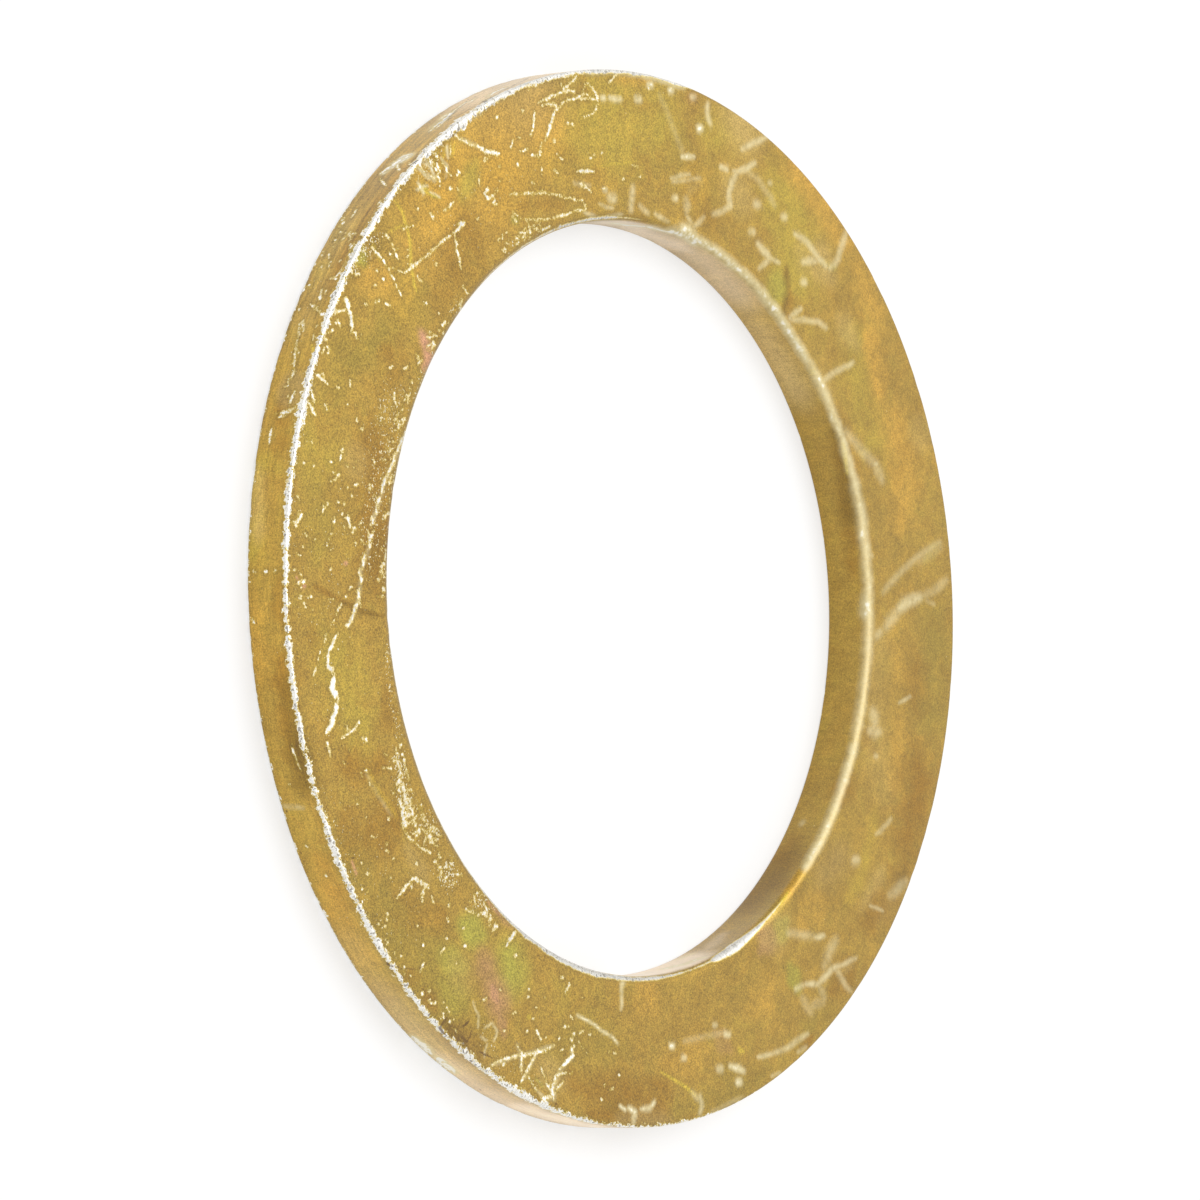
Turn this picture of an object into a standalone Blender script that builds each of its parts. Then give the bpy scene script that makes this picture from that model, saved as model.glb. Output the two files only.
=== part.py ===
"""A plain flat washer, blanked from 2 mm steel sheet and zinc plated with a yellow passivation.

It is one piece: a flat ring with a round bore. The piercing punch went in from the top face, so the
bore's top edge is rolled over and its bottom edge is crisp. The ring was then pushed down through the
blanking die, so its outer edge is rolled over at the bottom and crisp at the top.

Metres, +Z up. The origin is the centre of the bottom face.
"""

import math

import bmesh
import bpy

# The ring: 42 mm across outside
BORE_DIAMETER = 0.030
RING_WIDTH = 0.006
THICKNESS = 0.002

# The four edges of its section. A rolled edge is drawn down by the punch, wider than it is deep.
BORE_ROLL_WIDTH = 0.00038
BORE_ROLL_DEPTH = 0.00030
OUTER_ROLL_WIDTH = 0.00022
OUTER_ROLL_DEPTH = 0.00014
# A crisp edge keeps only the small break that tumbling and plating give it.
TOP_EDGE_BREAK = 0.00009
BORE_EDGE_BREAK = 0.00006

# How finely the round shapes are cut into flats
RING_STEPS = 180
ROLL_STEPS = 5
BREAK_STEPS = 3

YELLOW_PASSIVATION = (0.50, 0.32, 0.085, 1.0)
PLATING_METALLIC = 1.0
PLATING_ROUGHNESS = 0.38
# Below any distance between two points of the section
MERGE_DISTANCE = 1e-7
# Sharper than a step of a rolled edge, so that only true corners show as edges
SHARP_ANGLE = math.radians(40)


def clear_scene():
    for thing in list(bpy.data.objects):
        bpy.data.objects.remove(thing)


def rounded_corner(corner, inward_x, inward_z, steps, starts_flat):
    """Points of a quarter ellipse that rounds off a corner of the section.

    inward_x and inward_z run from the corner into the material. starts_flat says that the outline
    reaches this corner along a flat face, and otherwise it comes down or up a wall.
    """
    corner_x, corner_z = corner
    points = []
    for step in range(steps + 1):
        turn = math.pi / 2 * step / steps
        if not starts_flat:
            turn = math.pi / 2 - turn
        across = inward_x * (1 - math.sin(turn))
        down = inward_z * (1 - math.cos(turn))
        points.append((corner_x + across, corner_z + down))
    return points


def section_outline():
    """The ring's closed section at +X, clockwise: down the outer side and back up the bore."""
    bore = BORE_DIAMETER / 2
    outer = bore + RING_WIDTH
    top_outer = rounded_corner((outer, THICKNESS), -TOP_EDGE_BREAK, -TOP_EDGE_BREAK, BREAK_STEPS, True)
    bottom_outer = rounded_corner((outer, 0.0), -OUTER_ROLL_WIDTH, OUTER_ROLL_DEPTH, ROLL_STEPS, False)
    bottom_bore = rounded_corner((bore, 0.0), BORE_EDGE_BREAK, BORE_EDGE_BREAK, BREAK_STEPS, True)
    top_bore = rounded_corner((bore, THICKNESS), BORE_ROLL_WIDTH, -BORE_ROLL_DEPTH, ROLL_STEPS, False)
    return top_outer + bottom_outer + bottom_bore + top_bore


def plated_steel():
    material = bpy.data.materials.new("yellow_passivated_zinc")
    material.use_nodes = True
    shader = material.node_tree.nodes["Principled BSDF"]
    shader.inputs["Base Color"].default_value = YELLOW_PASSIVATION
    shader.inputs["Metallic"].default_value = PLATING_METALLIC
    shader.inputs["Roughness"].default_value = PLATING_ROUGHNESS
    return material


def turned_ring(name, outline):
    """A mesh object made by turning a closed outline about Z."""
    bm = bmesh.new()
    corners = [bm.verts.new((x, 0.0, z)) for x, z in outline]
    for start, end in zip(corners, corners[1:] + corners[:1]):
        bm.edges.new((start, end))
    mesh = bpy.data.meshes.new(name)
    bm.to_mesh(mesh)
    bm.free()
    ring = bpy.data.objects.new(name, mesh)
    turn = ring.modifiers.new("turn", "SCREW")
    turn.axis = "Z"
    turn.steps = RING_STEPS
    turn.render_steps = RING_STEPS
    turn.use_merge_vertices = True
    turn.merge_threshold = MERGE_DISTANCE
    return ring


def as_mesh(ring):
    """The ring with its turning applied, shaded smooth apart from its true corners."""
    evaluated = ring.evaluated_get(bpy.context.evaluated_depsgraph_get())
    solid = bpy.data.meshes.new_from_object(evaluated)
    ring.modifiers.clear()
    ring.data = solid
    solid.shade_smooth()
    solid.set_sharp_from_angle(angle=SHARP_ANGLE)


def build():
    clear_scene()
    pieces = bpy.data.collections.new("washer")
    bpy.context.scene.collection.children.link(pieces)
    ring = turned_ring("flat_washer", section_outline())
    pieces.objects.link(ring)
    as_mesh(ring)
    ring.data.materials.append(plated_steel())


build()
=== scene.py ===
"""The finish of a worn, yellow-passivated flat washer, lying on a pale floor.

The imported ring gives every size. Its surface is meshed again, finely along its edges and scratches, so
that nicks and grooves are real shape and the worn places can be painted on its points.
Metres, +Z up. Places that were read from the photograph are its pixels, 1200 by 1200, y down.
"""

import math
from types import SimpleNamespace

import bpy
import numpy as np
from mathutils import Matrix, Vector
from mathutils.bvhtree import BVHTree


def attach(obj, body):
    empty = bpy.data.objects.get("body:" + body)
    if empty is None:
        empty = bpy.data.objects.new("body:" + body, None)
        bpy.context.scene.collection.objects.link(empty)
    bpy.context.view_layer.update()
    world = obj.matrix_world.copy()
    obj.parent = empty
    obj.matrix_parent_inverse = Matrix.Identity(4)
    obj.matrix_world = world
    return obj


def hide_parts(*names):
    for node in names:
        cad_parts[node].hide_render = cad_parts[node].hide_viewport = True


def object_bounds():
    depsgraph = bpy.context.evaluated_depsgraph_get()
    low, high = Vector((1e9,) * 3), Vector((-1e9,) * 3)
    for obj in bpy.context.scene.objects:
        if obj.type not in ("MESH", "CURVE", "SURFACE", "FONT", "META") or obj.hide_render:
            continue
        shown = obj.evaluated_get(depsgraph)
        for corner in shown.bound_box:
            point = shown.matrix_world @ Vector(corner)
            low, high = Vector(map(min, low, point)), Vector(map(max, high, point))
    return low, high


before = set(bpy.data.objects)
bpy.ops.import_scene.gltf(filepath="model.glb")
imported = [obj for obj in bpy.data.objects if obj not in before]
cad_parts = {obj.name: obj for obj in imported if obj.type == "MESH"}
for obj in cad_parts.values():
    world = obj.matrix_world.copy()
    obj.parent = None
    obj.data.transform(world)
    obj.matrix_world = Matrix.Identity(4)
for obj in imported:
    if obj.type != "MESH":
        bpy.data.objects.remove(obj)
cad_low, cad_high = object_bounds()
CAD_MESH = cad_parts["flat_washer"].data

MM = 0.001
SEED = 20
# One generator for every mark, so the order in which the marks are read matters
random = np.random.default_rng(SEED)

# Camera. The photograph looks at the top face with the ring's near side at the left of the picture,
# so the camera is rolled until the world's up points to the right.
PHOTO_SIDE = 1200.0
FOCAL_PIXELS = 7392.0
SENSOR_MM = 36.0
CAMERA_ELEVATION = math.radians(39.21)
CAMERA_ROLL = math.radians(86.88)
CAMERA_DISTANCE = 0.2934
CAMERA_CLIP_START = 0.01
FACE_CENTRE_PIXEL = (638.1, 597.5)


def camera_axes():
    """The camera's right, up and forward as unit vectors."""
    forward = Vector((0, math.cos(CAMERA_ELEVATION), -math.sin(CAMERA_ELEVATION)))
    level_right = Vector((1, 0, 0))
    level_up = level_right.cross(forward)
    right = math.cos(CAMERA_ROLL) * level_right + math.sin(CAMERA_ROLL) * level_up
    return right, right.cross(forward), forward


CAMERA_RIGHT, CAMERA_UP, CAMERA_FORWARD = camera_axes()


def ray_through(pixel):
    """The direction from the camera through a pixel of the photograph, one unit deep."""
    across = float(pixel[0] - PHOTO_SIDE / 2) / FOCAL_PIXELS
    rise = float(PHOTO_SIDE / 2 - pixel[1]) / FOCAL_PIXELS
    return CAMERA_FORWARD + across * CAMERA_RIGHT + rise * CAMERA_UP


CAMERA_PLACE = Vector((0, 0, cad_high.z)) - CAMERA_DISTANCE * ray_through(FACE_CENTRE_PIXEL)


def linked(thing):
    bpy.context.scene.collection.objects.link(thing)
    return thing


def make_camera():
    data = bpy.data.cameras.new("camera")
    data.sensor_width = SENSOR_MM
    data.lens = FOCAL_PIXELS / PHOTO_SIDE * SENSOR_MM
    data.clip_start = CAMERA_CLIP_START
    camera = linked(bpy.data.objects.new("camera", data))
    turn = Matrix((CAMERA_RIGHT, CAMERA_UP, -CAMERA_FORWARD)).transposed()
    camera.matrix_world = Matrix.Translation(CAMERA_PLACE) @ turn.to_4x4()
    bpy.context.scene.camera = camera


make_camera()


# The ring's section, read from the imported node


class Section:
    """The closed outline of the ring's section, as r and z over the distance along it.

    It runs over the top face to the rim, down it, back under the ring and up the bore.
    """

    SAME = 1e-3 * MM
    NORMAL_STEP = 2e-3 * MM

    def __init__(self, places):
        radius = np.hypot(places[:, 0], places[:, 1])
        z = places[:, 2]
        self.top, self.bottom, self.outer, self.bore = z.max(), z.min(), radius.max(), radius.min()
        face = radius[z > self.top - self.SAME]
        seat = radius[z < self.bottom + self.SAME]
        rim = z[radius > self.outer - self.SAME]
        wall = z[radius < self.bore + self.SAME]
        flats = (
            ((face.min(), self.top), (face.max(), self.top)),
            ((self.outer, rim.max()), (self.outer, rim.min())),
            ((seat.max(), self.bottom), (seat.min(), self.bottom)),
            ((self.bore, wall.min()), (self.bore, wall.max())),
        )
        corners = (
            (self.outer, self.top),
            (self.outer, self.bottom),
            (self.bore, self.bottom),
            (self.bore, self.top),
        )
        self.spans = []
        for side, (start, end) in enumerate(flats):
            following = flats[(side + 1) % 4][0]
            self.spans.append((np.array(start), np.array(end), None))
            self.spans.append((np.array(end), np.array(following), np.array(corners[side])))
        lengths = [math.dist(start, end) for start, end, _ in self.spans]
        self.stops = np.concatenate([[0.0], np.cumsum(lengths)])
        self.length = self.stops[-1]

    def at(self, along):
        """r and z at distances along the outline."""
        along = np.mod(along, self.length)
        spot = np.zeros((len(along), 2))
        for (start, end, corner), low, high in zip(self.spans, self.stops, self.stops[1:]):
            here = (along >= low) & (along <= high)
            share = ((along[here] - low) / (high - low))[:, None]
            if corner is None:
                spot[here] = start + share * (end - start)
            else:
                # A quarter ellipse, which bulges towards the corner that it rounds
                turn = share * math.pi / 2
                from_start = 1 - np.sin(turn)
                from_end = 1 - np.cos(turn)
                spot[here] = corner + from_start * (start - corner) + from_end * (end - corner)
        return spot[:, 0], spot[:, 1]

    def place(self, angle, along):
        """The points of the plain ring at angles round it and distances along its outline."""
        r, z = self.at(along)
        return np.stack([r * np.cos(angle), r * np.sin(angle), z], axis=1)

    def outward(self, angle, along):
        """The unit normals of the plain ring, from a small step along its outline."""
        r_low, z_low = self.at(along - self.NORMAL_STEP)
        r_high, z_high = self.at(along + self.NORMAL_STEP)
        run, rise = r_high - r_low, z_high - z_low
        size = np.hypot(run, rise)
        flat, up = -rise / size, run / size
        return np.stack([flat * np.cos(angle), flat * np.sin(angle), up], axis=1)

    def middle(self, span):
        """The radius and height of the middle of a span."""
        r, z = self.at(np.array([(self.stops[span] + self.stops[span + 1]) / 2]))
        return float(r[0]), float(z[0])


section = Section(np.array([vertex.co for vertex in CAD_MESH.vertices]))
# The four edges, each as the radius and height of its middle
EDGE_TOP_OUTER, EDGE_BOTTOM_OUTER, EDGE_BOTTOM_BORE, EDGE_TOP_BORE = map(section.middle, (1, 3, 5, 7))


# Marks that were read from the photograph


def read_list(text):
    """Each mark as its numbers and its pixels. A line starts with the numbers, then has x,y by x,y.

    A line of pixels alone goes on with the mark above it. One pixel alone is a spot.
    """
    marks = []
    for line in text.strip().splitlines():
        if line.startswith("#"):
            continue
        words = line.split()
        numbers = [float(word) for word in words if "," not in word]
        pixels = [tuple(map(float, word.split(","))) for word in words if "," in word]
        if numbers:
            marks.append((numbers, pixels))
        else:
            marks[-1][1].extend(pixels)
    return marks


# Bright scratches and spots of bare metal: width, pixels
BARE_MARKS = read_list("""
# The torn edge at the upper left
2.4 451,131 458,137 466,142
3.0 470,112 480,106
2.6 486,96 496,92
2.2 436,128 446,120
2.6 399,171 395,160
2.4 386,186 380,178
4.5 441,134.6 451,129 458,124
4.2 465,116 475,112.5
3.0 462,124 470,119
2.4 428,157 433,166
2.0 437,163 440,172
2.0 420,166 424,171
2.4 431,176 435,180
1.8 443,163 446,169
3.0 377,205 381,200
3.4 374,227.5
2.2 350,248 354,243
2.0 346,262 352,266
2.4 344,270 349,276
# Upper left of the face
3.0 462,140 468,143 475,147
3.6 478,146 486,152 493,153 500,153
6.5 484,105
2.6 497,117
2.6 523,111
2.6 513,141 511,147
2.4 517.5,162.5 518,166
3.4 520,151.5 528,149.5
1.8 519,138
2.6 434,167 437,172
2.6 446,168 447,172
2.4 435,178 438,176 440,181
2.8 450.5,188
1.5 450.8,142 449.8,155
1.8 444,211 449,207 455,202
3.4 488,188.5 485.5,194 488,198 493.5,196.5
2.6 495,200.5 493,204
3.6 513,213.5 518.5,216
2.8 457,224 464,223 455,232
1.9 455,232 441,242 433,250 425,257
2.4 425,257 411,268 405,273
1.8 405,273 399,271
1.8 430.5,213 433,219
1.6 455,236 457,251 460,259 461,269
1.7 402,229 413,226
1.8 385,234 389,238
1.8 391,241 393,244
1.8 394,249 398,259
1.8 380,256 384,261
1.8 386,265 390,270
1.8 370,246 376,252 381,257 386,265
2.2 390,273 394,280
2.2 396,283 397,287
2.6 398.5,290.5 401,294.5
4.2 345.3,298 347.5,305 349,311
3.6 350,312 351.5,322 352,331.5
2.4 355.5,333 357,339
1.5 361.3,334 360.5,339
1.8 333.6,312.5 340,311 346,309.7
2.6 338,320.5 340.5,326.5
2.2 336,323
1.8 351,265 352,274
2.4 356,274
2.2 376,302.5 379,300.5
2.4 385.5,303 389.5,306.5
3.4 426,303.5
2.4 433,217
2.2 389.5,368.5 393,366
3.0 402.5,369.5 408,367
3.2 315.5,374 318.5,376.5 324,381 328,384
2.4 323,374.5
1.8 311.8,390 314.5,402.5
2.6 314,401.5
2.4 307.8,400.6 311,407 315.5,415
3.0 325,404.5 327,409.5
2.2 338,387.5
1.5 350,381 350.5,386
2.0 356,405.5
1.8 348,404.5
2.2 356.5,417.5 356.5,422
1.7 394.5,393 394,400 396,406
2.2 380.5,420 381,423
1.6 403,404 402,411
1.6 398,413 395,422
2.4 463.5,287 468,293
# Top
1.9 535,112 533,124 531,136
2.5 556,108 552,120 549,131 545,141
1.9 538,103 549,98 562,92 570,83 578,75
1.8 561,84 567,90 576,92
1.8 541,106 548,104 556,105
1.9 587,83 597,93 598,102
2.0 554,112 565,101 574,99 588,94
1.8 576,98 588,99 598,101
1.9 585,84 582,97
1.8 598,102 596,110 592,114
2.4 584,116 590,116
2.4 568,123
1.7 541,144 539,158
1.7 557,154 562,160
2.0 609,82 617,75
2.6 532,155 540,156
2.6 556,171
2.4 572,124
2.4 554,141
2.8 577,171 594,171
3.0 554,170 558,173
1.7 542,168 542,174
2.6 580,184 590,190
2.8 649,88
2.4 671,88
# Between the top and the bore
1.25 510,194 530,193 546,193 558,196 571,199 583,201
1.7 584,203 586,209
1.2 522,220 539,220 550,218.5
1.4 553,218 559,217 568,214 576,211 585,209
2.6 540,190 546,193
3.4 513,216 516,221
1.7 529,224 530,237
2.6 539,232 550,226
3.6 560,227
2.2 624,179
2.0 581,184
2.0 591,191
2.2 604,189
# The long scratch down the left of the face
2.4 406,430 401,442 396,454
2.4 394,459 388,474
3.0 386,476 384.9,480 383,486 381.5,493
3.6 379.8,497 378.6,501 377,507 376,512
3.2 372,518 372.5,522 371,525
2.8 368.8,531 369.5,537 370.5,542 369.5,547
1.8 373.5,530 372,537
3.2 365.8,553 363,561 361.5,567
2.8 358.8,569 360,575 361.5,580 361,583
3.4 359.5,588 358.8,594 359,600
3.2 358,602 355.5,607 353.5,615 350,621.5 347.5,625.5
2.0 360,601 361,606
2.0 352,586.5 349.5,590.5
2.0 346.5,596 345.5,598
2.0 342,604 339,610 337,614
2.0 334,620 331.5,624.5
2.2 327,634 324,642
2.0 320,652 318,660
2.0 316,668 314,675
3.6 338,633 334,641 330,650 328,658
4.4 328,658 328,665 332,671 335,675
4.6 335,675 333,682 332,688 335,697
4.2 337,703 336,712 332,724 326,733
2.6 335,690 338,699
# Left of the face
3.0 290.5,521.5 296,523 299,520 301.5,514
2.2 340,473 335,479 331,482
2.0 343,448 341,455 340,461
2.4 326,406
2.4 362,429
2.2 328,504
3.2 338,502.5
2.4 323.8,506.5 323.8,511.5
2.0 334.3,517.5 334.3,521
2.0 314.6,540.3
2.0 327.5,545.6
3.0 370,489
2.0 351.5,495.8
2.0 344,503 345,506
2.2 342.3,513.5
1.7 347.5,513 349,522 349.3,528
2.0 374.5,495.5
2.0 299.8,595 300.8,598.5
2.2 308,598.5 312,597.5
2.0 306,606.5
3.2 383.5,564
2.2 385.5,553 384.8,560
2.6 381,571
2.6 379,579.5
3.4 383.5,589
2.6 383,596
2.2 342,738 349,733 355,729 359,721
2.0 327,742 330,755
# Lower left of the face
2.4 400,784 404,792
2.2 406,797 411,805
2.4 413,808 412,814 407,816
2.4 403,817 402,824 404,830
2.0 404,830 408,836 414,841
1.9 417,844 423,849 431,853
3.0 424,829 425,832
2.6 437,834 441,837
2.0 449,838 451,844
1.9 416,878 421,881 427,885
1.9 422,896 423,902
2.0 432,896 434,902
2.0 474,894 486,892
1.9 474,896 475,904
2.0 484,903 488,911
2.4 417,863
3.0 441,952 444,947
2.8 422,968 423,963
3.6 506,947 511,938 515,932
2.2 387,844
2.6 449,905
2.4 463,928
2.2 465,946
2.2 447,938
2.4 417,926
2.0 441,953
2.2 457,962
2.6 484,1000
2.6 429,989
2.0 423,964 420,971
2.4 515,956
# Bottom
1.9 538,1050 530,1066 520,1084
2.0 546,1083 552,1092
1.8 541,1066 546,1078
2.0 548,1100 556,1092
2.2 491,1065 506,1058 518,1056
2.2 520,1056 538,1052 547,1050 554,1045
3.4 504,1064
1.9 517,1045 522,1054 521,1070
2.4 528,1076 532,1083 536,1090
2.6 572,1048 573,1056 566,1062 559,1070
2.4 570,1074 563,1073 556,1076 552,1090 554,1100
2.0 564,1081 556,1089
2.2 542,1099 553,1095
2.2 536,1029 541,1040
1.8 570,983 565,994
3.4 562,978
2.2 529,989
2.2 529,997
2.4 565,1027
1.9 397,758 400,772 398,784
1.8 405,766 409,780
2.2 402,788 406,802 402,814 406,828
1.8 397,898 405,888 413,878
1.6 413,878 421,884 429,888
1.6 425,887 421,897
2.2 574,1034
2.2 582,998
2.6 619,1075
2.4 602,1099
2.4 615,1053
# Rim
3.0 380,174 387,169 395,164 402,159 410,156
3.0 430,131 435.5,126 447,117.4 455.6,109.8
1.8 455.6,109.8 465,103 476,99
2.6 488,97 500,90 512,86
2.2 356,210 352,217
2.4 342,220
2.4 335,241
2.6 309,285
1.8 329,253 329,258
2.0 331,261 329,267
1.8 342,269 336,276
1.8 331,278 337,279
3.6 321.5,289 320,299
2.0 326,290 325,293
3.0 310.6,304 316,309 322,315
2.0 315,305.5 318.5,308
2.2 302.8,321 303.5,331
1.5 299.5,322 298,337 295,352 294,366
3.0 294,372 292,378
2.2 288.5,379 289,386
2.4 294.5,391 292,398 290.5,403
3.0 276,414 283,413 288,412 295.5,407.5
2.0 278,417 287,415
2.4 271,428 269,443
2.6 313.5,334 313.5,340
3.6 265.8,571.4
3.2 254.3,571
2.8 275.4,571
2.6 253,619 254.5,622
1.8 292,746 296,758 300,770
2.2 290,785
2.2 307,846
2.2 326,875
""")

# Marks on the side that the photograph blurs, other faint ones, and a painted highlight along the bore's
# rolled edge: width, strength, pixels
# The bore's rolled edge, which catches the light: a pale line with brighter spots, painted along it as a
# painted highlight
SOFT_MARKS_AND_SHEEN = read_list("""
1.6 0.7 473,1003 479,1016 478,1027
2.0 0.8 484,1028 492,1023 497,1031 494,1041
1.8 0.7 479,1036 487,1041
2.0 0.8 487,1045 484,1057
9.0 0.9 468,117 480,109
7.0 0.8 484,101 500,94
9.0 2.2 396,163 403,159 410,156
6.0 1.8 384,173 396,164
7.0 1.3 432,129 441,121 452,112
3.0 1.2 416,166 422,171 429,179
2.6 1.1 423,157 431,168 436,180
2.6 1.1 428,174 434,181
2.6 0.9 447,146 448,158
2.6 0.9 441,158 447,166 446,176
3.0 0.9 418,160 427,165
2.8 1.2 418,183 424,193
2.8 1.1 416,190 427,185
2.4 0.9 430,192 440,197
2.8 0.7 460,138 475,145 488,151
# The long scratch beside the bore
2.6 0.7 406,430 397,454 386,480 379,502 371,525
2.6 0.7 369,545 362,568 360,590 355,612 348,626
5.0 0.55 284,806 303,808
3.0 0.22 366,774 378,796 392,816
# Smudges round the top of the bore
4.0 0.6 584,212 598,218
4.0 0.5 600,204 613,209
4.0 0.5 672,182 700,178
5.0 0.5 655,214 668,222
4.0 0.5 686,214 694,226
6.0 0.5 640,206 648,213
4.0 0.5 574,183 590,186
# The tangle at the lower left, and the rim below it
3.2 0.8 491,1065 506,1059 520,1055 538,1051 554,1045
3.0 0.7 538,1051 530,1067 522,1080
3.2 0.7 572,1049 572,1057 566,1063 557,1076 553,1090 555,1100
3.0 0.6 517,1045 522,1055 521,1070
3.0 0.6 536,1090 545,1099 555,1097
9.0 2.0 414,1038 422,1045 430,1052
8.0 1.9 439,1059 446,1065 454,1072
2.8 1.1 577,1015 590,1022 607,1034 618,1043
5.0 0.9 623,979 622,990
3.0 0.8 622,990 621,1009
# The bore's rolled edge, which catches the light
7.0 1.3 612,223 647,227 678,234
9.0 1.2 678,234 697,240 714,250 739,270
9.0 1.1 740,270 758,288 775,311 793,338 808,361
8.5 0.9 808,361 826,396 842,435 854,480
9.0 0.95 855,480 863,520 866,550 869,580 870,607
9.5 0.75 870,607 869,640 866,671 861,712 855,742
9.0 1.0 856,742 846,774 835,808 820,842 805,868
13.0 1.4 683,229 690,235 694,244
11.0 1.4 773,306 778,315
9.0 1.3 819,379 822,386
8.0 1.2 831,413 833,419
8.0 1.2 838,428 840,434
12.0 1.2 867,596 868,618
9.0 1.2 862,532 863,542
# The pale edge at the top
5.0 0.9 584,72 610,71 640,75 664,81 684,88
6.0 1.4 650,85
6.0 1.4 671,90
# Upper right
4.5 0.8 708,104 707,114 710,124
6.5 1.4 700,128
5.5 0.75 742,149 754,143 766,137
5.5 0.9 682,157 694,157
4.5 0.6 671,178 682,176 690,175
7.0 0.8 721,167 727,169
5.0 0.6 733,171 739,171
5.5 0.75 737,172 747,168 755,163
5.0 0.8 736,174 733,182 729,192
5.5 0.65 729,192 730,205 722,211 713,214
4.5 0.55 704,217 697,224 690,231
8.0 0.7 757,204
7.0 0.6 752,232
7.0 0.6 784,217
5.0 0.5 770,183
6.0 0.3 745,170 758,180 765,190 775,205
5.0 0.18 660,95 668,115 676,136 683,155
7.0 0.5 686,200 687,210
6.0 0.9 675,198
5.5 1.1 603,98
7.0 0.9 610,98 620,100
7.0 1.1 638,99
6.0 0.8 693,97
9.0 0.7 612,198
5.0 0.8 605,190
5.0 0.6 633,187 632,198 631,210
4.0 0.7 607,217 622,214
6.0 0.8 758,244 764,251 770,258
5.0 0.65 770,258 779,263
6.0 0.6 770,259 764,264 759,268
5.5 0.75 795,234 801,238 808,243 813,250 818,257 826,266
5.5 0.7 830,268 835,263 838,258 842,245 846,232
8.0 0.7 803,262 809,261 815,260
7.0 0.75 804,282
6.0 0.7 790,318 795,313 801,309
5.5 0.65 792,320 804,320 818,322 826,328
5.5 0.65 822,382 828,377 835,372 844,367 853,363
# Right
8.0 0.4 846,432 858,448 876,465 882,480
6.5 0.4 883,592 899,574 910,563 925,552 940,542
12.0 0.22 918,560 940,546
9.0 0.55 886,627 892,618 899,611
10.0 0.9 899,609 908,602 920,597
8.0 0.35 922,596 932,592 938,588 946,580
10.0 0.5 876,636 880,632
6.0 0.3 926,600 934,604
5.0 0.7 876,464
5.0 0.6 871,556
10.0 0.5 873,712 875,722
13.0 0.5 870,731 879,732
8.0 0.6 856,860
9.0 0.4 890,895 898,889 906,882
4.5 0.55 876,756
4.0 0.55 899,703 910,696
4.0 0.5 870,906 883,911
4.5 0.5 891,819 884,827 876,834
9.0 0.3 855,862
# Lower right
8.0 0.4 788,933 802,935 814,937
6.0 0.9 815,937 824,936
8.0 0.4 836,940 829,952 824,966
7.0 0.7 796,989 803,986
6.0 0.8 806,984 818,984
5.5 0.8 818,984 824,978 832,969 840,966
5.0 0.65 840,966 856,958
5.0 0.5 836,970 841,978 846,986 852,991
7.0 0.35 820,988 824,998
9.0 0.3 803,999 811,1012
11.0 0.3 812,1006 823,1002
5.0 0.75 758,1057 772,1054
5.0 0.65 772,1054 788,1048 798,1040 808,1034
4.0 0.7 700,1096 702,1106 700,1114
6.0 0.4 692,1092 702,1102
5.5 1.5 672,1046
5.5 0.8 684,1058
5.0 0.8 715,1025
8.0 0.9 725,1034 729,1034
7.0 1.1 739,1082
7.0 0.9 720,1069
7.0 1.0 730,1066 738,1068 744,1071
6.0 0.28 684,1041 706,1036 722,1033
4.5 1.1 620,1106 625,1110
5.0 1.1 629,1108 635,1112 633,1122
4.5 1.1 641,1109 650,1109 655,1102
5.0 1.3 662,969 684,964 704,957
3.0 0.8 676,960 694,953
5.0 0.35 702,1118 722,1108 743,1097
5.0 0.5 772,1076 780,1072
5.0 0.5 798,1052 806,1047
5.0 0.5 802,823
""")

# Dark pits and lines: width, strength, pixels
DARK_MARKS = read_list("""
22 0.34 448,1026 462,1042 478,1056
10 0.55 452,1032 468,1046
1.8 0.6 455,1033 461,1020
1.8 0.6 467,1043 472,1031
3.0 0.8 446,1018 440,1028 447,1036
3.0 0.8 480,1052 492,1058
2.6 0.8 462,1028 470,1020
9 0.35 296,735 303,785
2.4 0.42 431,131 441,122 458.5,108 469,100 487,90.6
2.0 0.5 487,90.6 499.6,85.8 514,80 530,77
2.0 0.5 466,108 475.7,105 485,102 494.8,95.4 504.4,89.7 514,85.4 529,80.6
1.6 0.6 401,170 413.5,163.3 426,155.7
4.0 0.34 337,274 346,254 356,235 368,213
3.0 0.32 320,296 332,266 345,240
3.0 0.3 345,232 360,208 374,192
5 0.4 440,124 450,116 461,106
2.6 0.6 405.8,162.4
3.0 1.0 485.5,101.5
3.0 0.9 287,608
2.6 0.8 288,632
3.0 0.9 329,840
2.6 0.8 351,890
2.6 0.8 361,911
3.0 0.9 388,964
2.6 0.8 429,1015
3.0 0.9 471,1061
3.0 0.8 556,1104
2.2 0.9 319.2,339.5 318.3,343
3.0 0.9 307,384 307.7,386.5
2.2 0.8 302.5,398.6
2.0 0.8 300,418.8
2.0 0.6 286.4,505 285.9,508
1.8 0.6 285,532 285,537
1.8 0.6 284.6,539 284.6,543
2.6 0.7 257,623.5
3.0 0.6 315,633
3.0 0.6 353,858
3.0 0.6 480,1090
2.2 0.5 403,897 410,889 417,880
2.0 0.6 385,964 403,969 420,969 433,958
2.6 0.7 287,811
2.6 0.7 301,853
2.6 0.7 304,861
2.6 0.6 508,252
2.6 0.6 496,261
2.4 0.6 587,1073 591,1072
2.0 0.55 443,123 464,112 486,100 507,88 529,78 552,73 576,70
2.6 0.5 436,150 455,133 476,116 498,101
""")

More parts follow.
